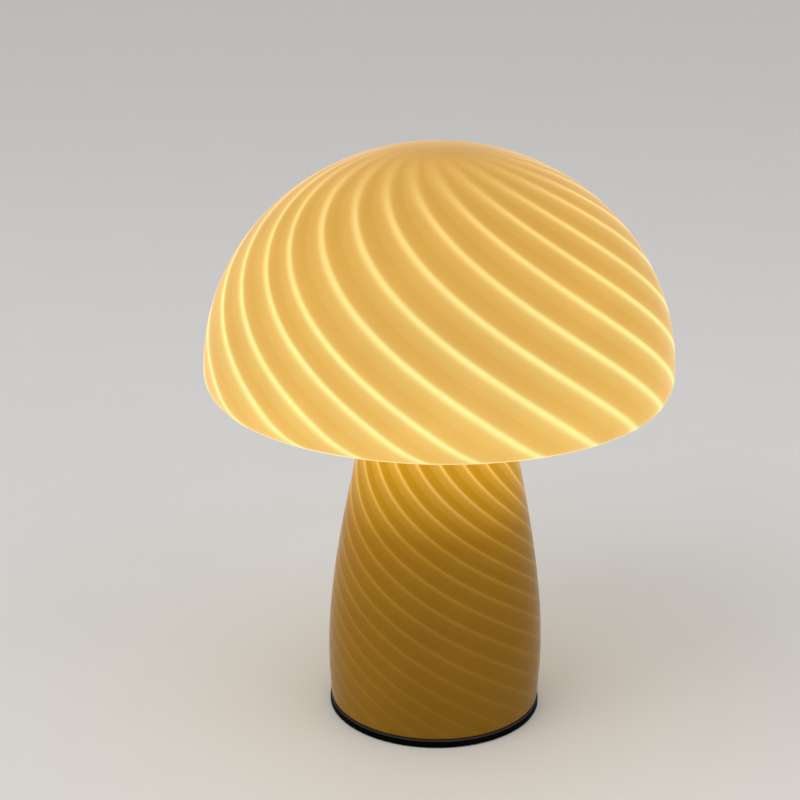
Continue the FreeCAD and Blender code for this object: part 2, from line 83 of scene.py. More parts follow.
# The stem: share of its height and outer radius in millimetres, foot first.
stem_low, stem_high = (Vector(corner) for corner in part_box("stem_glass"))
STEM_FOOT = stem_low.z
STEM_TOP = stem_high.z
STEM_OUTLINE = ((0.0, 46.5), (0.15, 47.6), (0.35, 46.0), (0.55, 41.8), (0.75, 36.2), (1.0, 29.0))
STEM_WALL = 4.0 * MM
STEM_EDGE_ROUND = 0.8 * MM
STEM_LINES = 20
STEM_COLUMNS_PER_LINE = 18
STEM_ROWS = 90
STEM_CORNER_ROWS = 5
STEM_INNER_STEP = 3
STEM_RELIEF = 0.08 * MM
STEM_RELIEF_RISE = 6 * MM
CORD_LEVEL = STEM_FOOT + STEM_OUTLINE[1][0] * (STEM_TOP - STEM_FOOT)
CORD_HOLE_RADIUS = 5.2 * MM
CORD_HOLE_SIDES = 48
# The drill reaches through the back wall only; its small roll keeps its corners off the
# mesh's own edges.
DRILL_LENGTH = 40 * MM
DRILL_BACK = 45 * MM
DRILL_ROLL = math.radians(2.0)

# Camera, as the photograph was taken.
CAMERA_PLACE = Vector((0.0, -0.7347, 0.3890))
CAMERA_PITCH = math.radians(18.55)
CAMERA_YAW = math.radians(-1.28)
CAMERA_ROLL = math.radians(0.39)
CAMERA_LENS = 80.99
CAMERA_SENSOR = 36.0


# ---------------------------------------------------------------- where the stripes run
# Angles in degrees about the lamp's axis, from the front (-Y) towards +X.
# The glass is hand-made, so the lines in front stand a little off an even spacing.
# On the cap they lie slightly closer than even, and one gap among them is clearly narrower.
CAP_FRONT_LINES = 11
CAP_LINES_BEFORE_NARROW_GAP = 3
CAP_NARROW_GAP = 3.5
CAP_CLOSER_PER_LINE = 0.22
# On the stem they crowd and spread in one slow wave.
STEM_FRONT_LINES = 15
STEM_WAVE_HEIGHT = 3.3
STEM_WAVE_MIDDLE = 8.5
STEM_WAVE_LENGTH = 14.5
BACK_LINE_WANDER = 0.9
CAP_SEED = 4
STEM_SEED = 9

# Twist of the lines in degrees: factors of the powers 0 to 4 of the way from a middle, over a
# span. They were fitted to stripes measured in the photograph.
CAP_TWIST_MIDDLE = 115 * MM
CAP_TWIST_SPAN = 70 * MM
CAP_TWIST = (1.8, 53.7, 7.8, -3.8, -3.0)
STEM_TWIST_MIDDLE = 80 * MM
STEM_TWIST_SPAN = 60 * MM
STEM_TWIST = (-122.9, -120.3, 12.4, 17.6, 6.2)

# Width of the relief beside a line, as a share of the spacing.
RIDGE_EASY = 0.26
RIDGE_STEEP = 0.09
# Where the lines fade out they grow wider, by up to this many times their width.
FADING_WIDENS = 1.5


def cap_stray(line):
    before = CAP_NARROW_GAP if line < CAP_LINES_BEFORE_NARROW_GAP else 0.0
    return before - CAP_CLOSER_PER_LINE * (line - 1)


def stem_stray(line):
    return STEM_WAVE_HEIGHT * math.cos(2 * math.pi * (line - STEM_WAVE_MIDDLE) / STEM_WAVE_LENGTH)


def line_angles(count, front_count, stray, first, seed):
    """Angle of each line where the twist formula gives zero; the first one's even place given."""
    rng = random.Random(seed)
    wander = [stray(line) for line in range(front_count)]
    while len(wander) < count:
        wander.append(rng.uniform(-BACK_LINE_WANDER, BACK_LINE_WANDER))
    return first + np.arange(count) * 360.0 / count + np.array(wander)


def power_sum(factors, way):
    return sum(factor * way ** power for power, factor in enumerate(factors))


def cap_twist(path):
    """Turn of the lines at a way from the crown, in metres along the outline."""
    return power_sum(CAP_TWIST, (path - CAP_TWIST_MIDDLE) / CAP_TWIST_SPAN)


def stem_twist(level):
    return power_sum(STEM_TWIST, (level - STEM_TWIST_MIDDLE) / STEM_TWIST_SPAN)


def line_phase(angle, line_angles):
    """Whole number on each line, growing by one from line to line; angle may run past a turn."""
    count = len(line_angles)
    knots = np.concatenate([line_angles - 720, line_angles - 360, line_angles,
                            line_angles + 360, line_angles + 720])
    return np.interp(angle, knots, np.arange(-2 * count, 3 * count))


# ---------------------------------------------------------------- mesh helpers
def smooth_piece(name, verts, faces, material):
    mesh = bpy.data.meshes.new(name)
    mesh.from_pydata(verts, [], faces)
    mesh.update()
    mesh.polygons.foreach_set("use_smooth", [True] * len(mesh.polygons))
    mesh.materials.append(material)
    piece = bpy.data.objects.new(name, mesh)
    bpy.context.scene.collection.objects.link(piece)
    return piece


def lathe_with_lines(name, outline, twist, line_angles, columns, relief, material):
    """Turned mesh whose surface follows twisted lines.

    outline: rows of (radius, level, path, share of relief), downwards on the outside; a radius
    of zero closes the mesh in a point. twist gives the turn of the lines, in degrees, for a
    row's path. The surface keeps to the outline on the lines and sinks a little between them.
    The UV maps hold what the material needs: "lines" (phase, path) and
    "spread" (distance between lines across them, less where they fade out; share of relief).
    """
    rows = np.array(outline, dtype=float)
    radius, level, path, share = rows.T
    step = np.gradient(rows[:, :2], axis=0)
    length = np.maximum(np.hypot(step[:, 0], step[:, 1]), TINY)
    normal = np.stack([-step[:, 1] / length, step[:, 0] / length], axis=1)
    angle = np.linspace(0, 360, columns, endpoint=False)
    turn = twist(path)
    phase = line_phase(angle[None, :] - turn[:, None], line_angles)
    off = (phase + 0.5) % 1.0 - 0.5
    sunk = relief * share[:, None] * (ridge(off) - 1.0)
    ring_radius = radius[:, None] + sunk * normal[:, :1]
    ring_level = level[:, None] + sunk * normal[:, 1:]
    theta = np.radians(angle)[None, :]
    x = ring_radius * np.sin(theta)
    y = -ring_radius * np.cos(theta)
    closed = radius < POINT_RADIUS
    verts, first = [], []
    for row in range(len(rows)):
        first.append(len(verts))
        if closed[row]:
            verts.append((0.0, 0.0, level[row]))
        else:
            verts.extend(zip(x[row], y[row], ring_level[row]))
    faces, corners = [], []
    for row in range(len(rows) - 1):
        for col in range(columns):
            nxt = (col + 1) % columns
            quad = [(row, col, col), (row + 1, col, col), (row + 1, nxt, col + 1), (row, nxt, col + 1)]
            face, used = [], []
            for r, c, column in quad:
                index = first[r] if closed[r] else first[r] + c
                if index in face:
                    continue
                face.append(index)
                used.append((r, column))
            faces.append(face)
            corners.append(used)
    piece = smooth_piece(name, verts, faces, material)
    spacing = 2 * np.pi * np.maximum(radius, SMALLEST_SPACING_RADIUS) / len(line_angles)
    slant = np.gradient(np.radians(turn)) / np.maximum(np.abs(np.gradient(path)), TINY)
    across = spacing / np.sqrt(1 + (slant * radius) ** 2) / (1.0 + FADING_WIDENS * (1.0 - share))
    lines_uv = piece.data.uv_layers.new(name="lines")
    spread_uv = piece.data.uv_layers.new(name="spread")
    step_angle = 360.0 / columns
    flat_lines, flat_spread = [], []
    for used in corners:
        for r, column in used:
            value = line_phase(np.array([column * step_angle - turn[r]]), line_angles)[0]
            flat_lines.extend((value, path[r]))
            flat_spread.extend((across[r], share[r]))
    lines_uv.data.foreach_set("uv", flat_lines)
    spread_uv.data.foreach_set("uv", flat_spread)
    return piece


def ridge(off):
    """Height of the relief beside a line, 1 on it; steep on one side and easy on the other."""
    easy = np.exp(-(off / RIDGE_EASY) ** 2)
    steep = np.exp(-(off / RIDGE_STEEP) ** 2)
    return np.where(off < 0, easy, steep)


def arc_rows(centre, half_width, half_height, start, end, count):
    """Points of an elliptical arc, angles in degrees from +radius towards +level."""
    return [(centre[0] + half_width * math.cos(math.radians(a)),
             centre[1] + half_height * math.sin(math.radians(a)))
            for a in np.linspace(start, end, count)]


def with_path(points):
    """Adds to each point of the cap its way along the outline and its share of relief."""
    rows = []
    path = 0.0
    for index, (radius, level) in enumerate(points):
        if index:
            path += math.hypot(radius - points[index - 1][0], level - points[index - 1][1])
        rows.append((radius, level, path, zero_to_one((path - CAP_LINES_START) / CAP_LINES_RISE)))
    return rows


# ---------------------------------------------------------------- material helpers
# Nearly all of a noise texture lies between these values.
NOISE_LOW = 0.3
NOISE_HIGH = 0.7


class Nodes:
    """Short way to build a node material."""

    def __init__(self, name):
        self.material = bpy.data.materials.new(name)
        self.material.use_nodes = True
        self.tree = self.material.node_tree
        self.tree.nodes.clear()
        self.shader = self.tree.nodes.new("ShaderNodeBsdfPrincipled")
        output = self.tree.nodes.new("ShaderNodeOutputMaterial")
        self.link(self.shader.outputs[0], output.inputs[0])

    def link(self, source, target):
        self.tree.links.new(source, target)

    def put(self, value, socket):
        if isinstance(value, bpy.types.NodeSocket):
            self.link(value, socket)
        else:
            socket.default_value = value

    def node(self, kind, **settings):
        made = self.tree.nodes.new(kind)
        for key, value in settings.items():
            setattr(made, key, value)
        return made

    def math(self, operation, *values):
        made = self.node("ShaderNodeMath", operation=operation)
        for value, socket in zip(values, made.inputs):
            self.put(value, socket)
        return made.outputs[0]

    def mix(self, factor, a, b, blend="MIX"):
        made = self.node("ShaderNodeMix", data_type="RGBA", blend_type=blend)
        self.put(factor, made.inputs[0])
        self.put(a, made.inputs[6])
        self.put(b, made.inputs[7])
        return made.outputs[2]

    def ramp(self, factor, *stops):
        made = self.node("ShaderNodeValToRGB")
        elements = made.color_ramp.elements
        while len(elements) < len(stops):
            elements.new(0.5)
        for element, (place, colour) in zip(elements, stops):
            element.position = place
            element.color = colour
        self.put(factor, made.inputs[0])
        return made.outputs[0]

    def noise(self, scale, detail=3.0, roughness=0.5, stretch=None):
        coords = self.node("ShaderNodeTexCoord").outputs["Object"]
        if stretch:
            mapping = self.node("ShaderNodeMapping")
            mapping.inputs["Scale"].default_value = stretch
            self.link(coords, mapping.inputs["Vector"])
            coords = mapping.outputs[0]
        made = self.node("ShaderNodeTexNoise")
        self.link(coords, made.inputs["Vector"])
        made.inputs["Scale"].default_value = scale
        made.inputs["Detail"].default_value = detail
        made.inputs["Roughness"].default_value = roughness
        return made.outputs["Fac"]

    def remap(self, value, from_low, from_high, to_low, to_high):
        made = self.node("ShaderNodeMapRange")
        for given, socket in zip((value, from_low, from_high, to_low, to_high), made.inputs):
            self.put(given, socket)
        return made.outputs[0]

    def vary(self, noise, low, high):
        """A value that drifts with the noise from low to high."""
        return self.remap(noise, NOISE_LOW, NOISE_HIGH, low, high)

    def base_tones(self, noise, dark, light):
        colour = self.ramp(noise, (NOISE_LOW, dark), (NOISE_HIGH, light))
        self.link(colour, self.shader.inputs["Base Color"])

    def vary_roughness(self, noise, low, high):
        self.link(self.vary(noise, low, high), self.shader.inputs["Roughness"])

    def roughness_about(self, noise, middle, spread):
        self.vary_roughness(noise, middle - spread, middle + spread)

    def place(self, axis):
        """Place of the point shaded along an axis of the lamp: 0, 1 or 2."""
        split = self.node("ShaderNodeSeparateXYZ")
        self.link(self.node("ShaderNodeTexCoord").outputs["Object"], split.inputs[0])
        return split.outputs[axis]

    def bump(self, height, strength, distance):
        made = self.node("ShaderNodeBump")
        made.inputs["Strength"].default_value = strength
        made.inputs["Distance"].default_value = distance
        self.link(height, made.inputs["Height"])
        self.link(made.outputs[0], self.shader.inputs["Normal"])


def srgb(red, green, blue, alpha=1.0):
    """Linear colour from the 0 to 255 values of a screen colour."""
    def linear(value):
        value /= 255.0
        return value / 12.92 if value <= 0.04045 else ((value + 0.055) / 1.055) ** 2.4
    return (linear(red), linear(green), linear(blue), alpha)


def grey(value):
    return (value, value, value, 1.0)


CORE_POWER = 2.0
HALO_POWER = 1.3


def line_profile(nodes, core_easy, core_steep, halo_easy, halo_steep):
    """What the two UV maps give: brightness of a line's core and halo, path and share.

    Each width is a distance across the line, on its easy or on its steep side.
    """
    lines = nodes.node("ShaderNodeUVMap", uv_map="lines")
    spread = nodes.node("ShaderNodeUVMap", uv_map="spread")
    split = nodes.node("ShaderNodeSeparateXYZ")
    nodes.link(lines.outputs[0], split.inputs[0])
    wide = nodes.node("ShaderNodeSeparateXYZ")
    nodes.link(spread.outputs[0], wide.inputs[0])
    shifted = nodes.math("ADD", split.outputs[0], 0.5)
    off = nodes.math("SUBTRACT", nodes.math("FRACT", shifted), 0.5)
    distance = nodes.math("MULTIPLY", off, wide.outputs[0])
    side = nodes.math("GREATER_THAN", distance, 0.0)

    def bell(easy, steep, power):
        width = nodes.math("ADD", nodes.math("MULTIPLY", side, steep - easy), easy)
        ratio = nodes.math("DIVIDE", nodes.math("ABSOLUTE", distance), width)
        exponent = nodes.math("MULTIPLY", nodes.math("POWER", ratio, power), -1.0)
        return nodes.math("EXPONENT", exponent)

    return {
        "core": bell(core_easy, core_steep, CORE_POWER),
        "halo": bell(halo_easy, halo_steep, HALO_POWER),
        "path": split.outputs[1],
        "share": wide.outputs[1],
    }


# ---------------------------------------------------------------- glass materials
GLASS_IOR = 1.5
CAP_HALO_SHARE = 0.34
# How much of its colour the cap also shows by the light that falls on it.
CAP_DAYLIGHT_SHARE = 0.12
# Painted highlight: a bright edge round the cap's lowest level, where the rim catches the light. Its ways
# along the outline before that level, then past it.
RIM_HIGHLIGHT_BEGINS = 5.4 * MM
RIM_HIGHLIGHT_IS_FULL = 4.6 * MM
RIM_HIGHLIGHT_FADES_FROM = 1.0 * MM
RIM_HIGHLIGHT_IS_GONE = 8.0 * MM
RIM_HIGHLIGHT_STRENGTH = 0.85
# Painted light: both glasses are made a little brighter on the left, as if more light fell on that side.
CAP_PAINTED_LIGHT_LEFT = 1.09
CAP_PAINTED_LIGHT_FROM = -0.2 * CAP_RADIUS
CAP_PAINTED_LIGHT_FULL = -CAP_RADIUS
STEM_PAINTED_LIGHT_LEFT = 1.3
STEM_PAINTED_LIGHT_FROM = -2 * MM
STEM_PAINTED_LIGHT_FULL = -42 * MM


def glass_surface(nodes, roughness_low, roughness_high, coat):
    """Glossy, slightly uneven blown surface."""
    shader = nodes.shader
    shader.inputs["IOR"].default_value = GLASS_IOR
    shader.inputs["Specular IOR Level"].default_value = 0.04
    shader.inputs["Coat Weight"].default_value = coat
    shader.inputs["Coat Roughness"].default_value = 0.03
    shader.inputs["Coat IOR"].default_value = GLASS_IOR
    nodes.vary_roughness(nodes.noise(scale=55.0, detail=4.0), roughness_low, roughness_high)
    nodes.bump(nodes.noise(scale=38.0, detail=2.0), strength=0.12, distance=0.4 * MM)


def cap_material(rim_path):
    """Milky glass lit from inside; rim_path is the way from the crown to the lowest level."""
    nodes = Nodes("cap_glass_lit")
    line = line_profile(nodes, core_easy=1.7 * MM, core_steep=1.05 * MM,
                        halo_easy=5.0 * MM, halo_steep=1.8 * MM)
    along = nodes.math("DIVIDE", line["path"], rim_path)
    band = nodes.ramp(along,
                      (0.00, srgb(198, 153, 74)),
                      (0.14, srgb(200, 152, 68)),
                      (0.41, srgb(206, 158, 70)),
                      (0.73, srgb(217, 169, 82)),
                      (0.95, srgb(228, 181, 91)),
                      (1.00, srgb(233, 187, 95)))
    glow = nodes.ramp(along,
                      (0.00, srgb(206, 160, 84)),
                      (0.21, srgb(232, 188, 104)),
                      (0.47, srgb(254, 214, 130)),
                      (0.73, srgb(255, 236, 150)),
                      (1.00, srgb(255, 238, 154)))
    halo = nodes.math("MULTIPLY", line["halo"], line["share"])
    soft = nodes.mix(nodes.math("MULTIPLY", halo, CAP_HALO_SHARE), band, glow)
    lit = nodes.mix(nodes.math("MULTIPLY", line["core"], line["share"]), soft, glow)
    # Painted highlight: a pale band mixed over the colour along the rim's lowest level.
    edge = nodes.remap(line["path"], rim_path - RIM_HIGHLIGHT_BEGINS, rim_path - RIM_HIGHLIGHT_IS_FULL, 0.0, 1.0)
    past = nodes.remap(line["path"], rim_path + RIM_HIGHLIGHT_FADES_FROM, rim_path + RIM_HIGHLIGHT_IS_GONE,
                       RIM_HIGHLIGHT_STRENGTH, 0.0)
    with_rim_highlight = nodes.mix(nodes.math("MULTIPLY", edge, past), lit, srgb(255, 228, 168))
    cloud = nodes.vary(nodes.noise(scale=26.0, detail=3.0), low=0.96, high=1.04)
    # Painted light: the cap's colour is raised towards its left side.
    painted_light_side = nodes.remap(nodes.place(0), CAP_PAINTED_LIGHT_FULL, CAP_PAINTED_LIGHT_FROM, CAP_PAINTED_LIGHT_LEFT, 1.0)
    level = grey_socket(nodes, nodes.math("MULTIPLY", cloud, painted_light_side))
    colour = nodes.mix(1.0, with_rim_highlight, level, "MULTIPLY")
    nodes.link(colour, nodes.shader.inputs["Emission Color"])
    nodes.shader.inputs["Emission Strength"].default_value = 1.0
    base = nodes.mix(1.0, colour, grey(CAP_DAYLIGHT_SHARE), "MULTIPLY")
    nodes.link(base, nodes.shader.inputs["Base Color"])
    glass_surface(nodes, roughness_low=0.16, roughness_high=0.26, coat=0.12)
    return nodes.material


def grey_socket(nodes, value):
    """The value as a grey colour."""
    made = nodes.node("ShaderNodeCombineColor")
    for socket in made.inputs[:3]:
        nodes.link(value, socket)
    return made.outputs[0]


def stem_material():
    """Amber glass, painted darker towards the foot as painted shade and lighter towards the top as
    painted light from the cap, with a painted glow strongest at the top.
    """
    nodes = Nodes("stem_glass_amber")
    line = line_profile(nodes, core_easy=1.2 * MM, core_steep=0.5 * MM,
                        halo_easy=4.8 * MM, halo_steep=0.7 * MM)
    height = nodes.remap(line["path"], STEM_FOOT, STEM_TOP, 0.0, 1.0)
    # Painted shade and light: the amber darkens towards the foot and brightens towards the top, where
    # light from the cap falls on it.
    band = nodes.ramp(height,
                      (0.00, srgb(122, 86, 10)),
                      (0.35, srgb(126, 88, 8)),
                      (0.60, srgb(138, 98, 8)),
                      (0.85, srgb(182, 136, 18)),
                      (1.00, srgb(203, 156, 30)))
    pale = nodes.ramp(height,
                      (0.00, srgb(127, 91, 15)),
                      (0.35, srgb(139, 101, 23)),
                      (0.60, srgb(160, 119, 34)),
                      (0.85, srgb(230, 186, 94)),
                      (1.00, srgb(252, 217, 138)))
    # Painted light: the halos of the lines grow stronger towards the top.
    spread = nodes.ramp(height, (0.0, grey(0.15)), (0.5, grey(0.22)), (1.0, grey(0.48)))
    halo = nodes.mix(1.0, grey_socket(nodes, line["halo"]), spread, "MULTIPLY")
    core = grey_socket(nodes, line["core"])
    strength = nodes.mix(1.0, core, halo, "LIGHTEN")
    lined = nodes.mix(strength, band, pale)
    cloud = nodes.vary(nodes.noise(scale=20.0, detail=3.0), low=0.95, high=1.05)
    # Painted light: the stem is made brighter on its left, less so towards the top.
    fading_upwards = nodes.remap(height, 0.45, 1.0, 1.0, 0.1)
    sideways = nodes.math("MULTIPLY", nodes.place(0), fading_upwards)
    painted_light_side = nodes.remap(sideways, STEM_PAINTED_LIGHT_FULL, STEM_PAINTED_LIGHT_FROM, STEM_PAINTED_LIGHT_LEFT, 1.0)
    level = grey_socket(nodes, nodes.math("MULTIPLY", cloud, painted_light_side))
    colour = nodes.mix(1.0, lined, level, "MULTIPLY")
    nodes.link(colour, nodes.shader.inputs["Base Color"])
    # Painted glow: the stem is no lamp, but it is given an emission that grows towards the top, standing
    # in for light from the cap above.
    glow = nodes.ramp(height,
                      (0.0, grey(0.10)),
                      (0.5, grey(0.26)),
                      (0.8, grey(0.62)),
                      (1.0, grey(0.95)))
    inner = nodes.mix(1.0, colour, glow, "MULTIPLY")
    nodes.link(inner, nodes.shader.inputs["Emission Color"])
    nodes.shader.inputs["Emission Strength"].default_value = 1.0
    glass_surface(nodes, roughness_low=0.22, roughness_high=0.34, coat=0.22)
    return nodes.material


# ---------------------------------------------------------------- the glass pieces
def cap_outer_points(inset, rows):
    """Outline of the cap from the crown to the mouth, moved inwards by inset.

    rows is the number of points on the dome; the bend under it and the underside have fewer.
    """
    widest_level = CAP_LOWEST + CAP_RIM_DROP
    widest = CAP_RADIUS - inset
    rise = CAP_TOP - widest_level - inset
    lowest = CAP_LOWEST + inset
    lowest_radius = CAP_RADIUS - CAP_RIM_TUCK
    land_radius = CAP_MOUTH_RADIUS + CAP_LAND_WIDTH
    points = arc_rows((0, widest_level), widest, rise, 90, 0, rows)
    points[0] = (0.0, points[0][1])
    points += arc_rows((lowest_radius, widest_level), widest - lowest_radius,
                       CAP_RIM_DROP - inset, 0, -90, rows // 6)[1:]
    for share in np.linspace(0, 1, rows // 3)[1:]:
        fall = 0.5 - 0.5 * math.cos(math.pi * share)
        points.append((lowest_radius + (land_radius - lowest_radius) * share,
                       lowest + CAP_UNDERSIDE_RISE * fall))
    for share in np.linspace(0, 1, CAP_LAND_ROWS)[1:]:
        points.append((land_radius - CAP_LAND_WIDTH * share, lowest + CAP_UNDERSIDE_RISE))
    return points


def zero_to_one(value):
    return min(1.0, max(0.0, value))


def build_cap():
    outer = cap_outer_points(0.0, CAP_OUTER_ROWS)
    inner = cap_outer_points(CAP_WALL, CAP_INNER_ROWS)
    mouth = CAP_LOWEST + CAP_UNDERSIDE_RISE
    edge = arc_rows((CAP_MOUTH_RADIUS, mouth + CAP_WALL / 2), -CAP_WALL / 5, CAP_WALL / 2,
                    -90, 90, CAP_EDGE_ROWS)
    outer_rows = with_path(outer)
    outer_length = outer_rows[-1][2]
    rows = outer_rows + [(r, z, outer_length, 0.0) for r, z in edge[1:-1] + inner[::-1]]
    columns = CAP_LINES * CAP_COLUMNS_PER_LINE
    first_line = -(CAP_FRONT_LINES - 1) / 2 * 360.0 / CAP_LINES
    angles = line_angles(CAP_LINES, CAP_FRONT_LINES, cap_stray, first_line, CAP_SEED)
    rim_path = min(outer_rows, key=lambda row: row[1])[2]
    cap = lathe_with_lines("cap_shell", rows, cap_twist, angles, columns, CAP_RELIEF,
                           cap_material(rim_path))
    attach(cap, "cap")
    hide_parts(*CAP_NODES)
    return cap


def stem_side(count):
    """Smooth curve through the outline's points, as the solid has it."""
    share, radius = np.array(STEM_OUTLINE).T
    height = STEM_TOP - STEM_FOOT
    chord = np.concatenate([[0], np.cumsum(np.hypot(np.diff(share) * height / MM, np.diff(radius)))])
    t = np.linspace(0, chord[-1], count)
    return [(r * MM, STEM_FOOT + s * height)
            for r, s in zip(natural_spline(chord, radius, t), natural_spline(chord, share, t))]


def natural_spline(knots, values, where):
    """Cubic spline through the values, with straight ends."""
    count = len(knots)
    gaps = np.diff(knots)
    matrix = np.eye(count)
    right = np.zeros(count)
    for i in range(1, count - 1):
        matrix[i, i - 1:i + 2] = gaps[i - 1], 2 * (gaps[i - 1] + gaps[i]), gaps[i]
        right[i] = 6 * ((values[i + 1] - values[i]) / gaps[i] - (values[i] - values[i - 1]) / gaps[i - 1])
    curve = np.linalg.solve(matrix, right)
    i = np.clip(np.searchsorted(knots, where) - 1, 0, count - 2)
    a = knots[i + 1] - where
    b = where - knots[i]
    return (curve[i] * a ** 3 + curve[i + 1] * b ** 3) / (6 * gaps[i]) \
        + (values[i] / gaps[i] - curve[i] * gaps[i] / 6) * a \
        + (values[i + 1] / gaps[i] - curve[i + 1] * gaps[i] / 6) * b


def build_stem():
    side = stem_side(STEM_ROWS)
    foot, rim = side[0], side[-1]
    edge = STEM_EDGE_ROUND

    def corner(point, sign_r, sign_z, start, end):
        centre = (point[0] - sign_r * edge, point[1] - sign_z * edge)
        return arc_rows(centre, edge, edge, start, end, STEM_CORNER_ROWS)

    outer = [(r, z) for r, z in side if foot[1] + edge < z < rim[1] - edge]
    inner = [(r - STEM_WALL, z) for r, z in outer[::-STEM_INNER_STEP]]
    rim_inner = (rim[0] - STEM_WALL, rim[1])
    foot_inner = (foot[0] - STEM_WALL, foot[1])
    points = (corner(foot, 1, -1, -90, 0) + outer + corner(rim, 1, 1, 0, 90)
              + corner(rim_inner, -1, 1, 90, 180) + inner + corner(foot_inner, -1, -1, 180, 270))
    points.append(points[0])
    outside = STEM_CORNER_ROWS + len(outer) + STEM_CORNER_ROWS
    rows = []
    for index, (radius, level) in enumerate(points):
        ends = zero_to_one(min(level - foot[1], rim[1] - level) / STEM_RELIEF_RISE)
        share = ends if index < outside else 0.0
        rows.insert(0, (radius, level, level, share))
    columns = STEM_LINES * STEM_COLUMNS_PER_LINE
    angles = line_angles(STEM_LINES, STEM_FRONT_LINES, stem_stray, 0.0, STEM_SEED)
    stem = lathe_with_lines("stem_shell", rows, stem_twist, angles, columns, STEM_RELIEF,
                            stem_material())
    drill_cord_hole(stem)
    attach(stem, "stand")
    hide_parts("stem_glass")
    return stem


def drill_cord_hole(stem):
    """Weld the seam rows and cut the round hole through the back of the glass."""
    bpy.ops.mesh.primitive_cylinder_add(vertices=CORD_HOLE_SIDES, radius=CORD_HOLE_RADIUS,
                                        depth=DRILL_LENGTH, location=(0, DRILL_BACK, CORD_LEVEL),
                                        rotation=(math.pi / 2, DRILL_ROLL, 0))
    drill = bpy.context.object
    weld = stem.modifiers.new("weld", "WELD")
    weld.merge_threshold = 0.001 * MM
    stem.modifiers.new("flat_faces", "TRIANGULATE")
    cut = stem.modifiers.new("cut", "BOOLEAN")
    cut.operation = "DIFFERENCE"
    cut.solver = "EXACT"
    cut.object = drill
    bpy.context.view_layer.objects.active = stem
    for modifier in ("weld", "flat_faces", "cut"):
        bpy.ops.object.modifier_apply(modifier=modifier)
    bpy.data.objects.remove(drill, do_unlink=True)


# ---------------------------------------------------------------- materials of the other pieces
def enamel():
    nodes = Nodes("black_enamel_satin")
    grain = nodes.noise(scale=420.0, detail=3.0)
    nodes.base_tones(nodes.noise(scale=60.0, detail=3.0), grey(0.0012), grey(0.003))
    nodes.vary_roughness(grain, low=0.34, high=0.48)
    nodes.shader.inputs["Specular IOR Level"].default_value = 0.01
    nodes.bump(grain, strength=0.25, distance=0.05 * MM)
    return nodes.material


def rubber(name, dark, light, roughness):
    nodes = Nodes(name)
    grain = nodes.noise(scale=900.0, detail=4.0)
    nodes.base_tones(nodes.noise(scale=120.0, detail=3.0), dark, light)
    nodes.roughness_about(grain, roughness, spread=0.08)
    nodes.bump(grain, strength=0.35, distance=0.06 * MM)
    return nodes.material


def silicone():
    nodes = Nodes("silicone_clear")
    nodes.base_tones(nodes.noise(scale=90.0, detail=3.0), srgb(214, 208, 196), srgb(226, 220, 208))
    nodes.vary_roughness(nodes.noise(scale=300.0), low=0.34, high=0.46)
    nodes.shader.inputs["Subsurface Weight"].default_value = 0.2
    nodes.shader.inputs["Subsurface Radius"].default_value = (2 * MM, 2 * MM, 2 * MM)
    nodes.bump(nodes.noise(scale=240.0), strength=0.1, distance=0.05 * MM)
    return nodes.material


# Squeezes the grain along the axis, into the fine rings that turning leaves.
TURNING_MARKS = (1.0, 1.0, 24.0)


def metal(name, dark, light, roughness, turned=False):
    nodes = Nodes(name)
    nodes.shader.inputs["Metallic"].default_value = 1.0
    stretch = TURNING_MARKS if turned else None
    grain = nodes.noise(scale=260.0, detail=4.0, stretch=stretch)
    nodes.base_tones(nodes.noise(scale=80.0, detail=3.0), dark, light)
    nodes.roughness_about(grain, roughness, spread=0.07)
    nodes.bump(grain, strength=0.2, distance=0.04 * MM)
    return nodes.material


def cast_iron():
    nodes = Nodes("cast_iron_raw")
    nodes.shader.inputs["Metallic"].default_value = 0.75
    grain = nodes.noise(scale=340.0, detail=6.0, roughness=0.65)
    nodes.base_tones(nodes.noise(scale=45.0, detail=4.0), srgb(58, 57, 58), srgb(84, 82, 80))
    nodes.vary_roughness(grain, low=0.55, high=0.78)
    nodes.bump(grain, strength=0.7, distance=0.25 * MM)
    return nodes.material


def plastic(name, dark, light, roughness):
    nodes = Nodes(name)
    grain = nodes.noise(scale=700.0, detail=3.0)
    nodes.base_tones(nodes.noise(scale=70.0, detail=2.0), dark, light)
    nodes.roughness_about(grain, roughness, spread=0.06)
    nodes.bump(grain, strength=0.3, distance=0.03 * MM)
    return nodes.material


def bulb_globe_lit():
    nodes = Nodes("bulb_globe_lit")
    low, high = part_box("bulb_globe")
    share = nodes.remap(nodes.place(2), low[2], high[2], 0.0, 1.0)
    colour = nodes.ramp(share,
                        (0.00, srgb(255, 226, 160)),
                        (0.45, srgb(255, 243, 206)),
                        (1.00, srgb(255, 238, 190)))
    nodes.link(colour, nodes.shader.inputs["Emission Color"])
    nodes.shader.inputs["Emission Strength"].default_value = 1.0
    nodes.link(nodes.mix(1.0, colour, grey(0.2), "MULTIPLY"), nodes.shader.inputs["Base Color"])
    nodes.vary_roughness(nodes.noise(scale=200.0), low=0.22, high=0.32)
    nodes.bump(nodes.noise(scale=300.0), strength=0.08, distance=0.05 * MM)
    return nodes.material


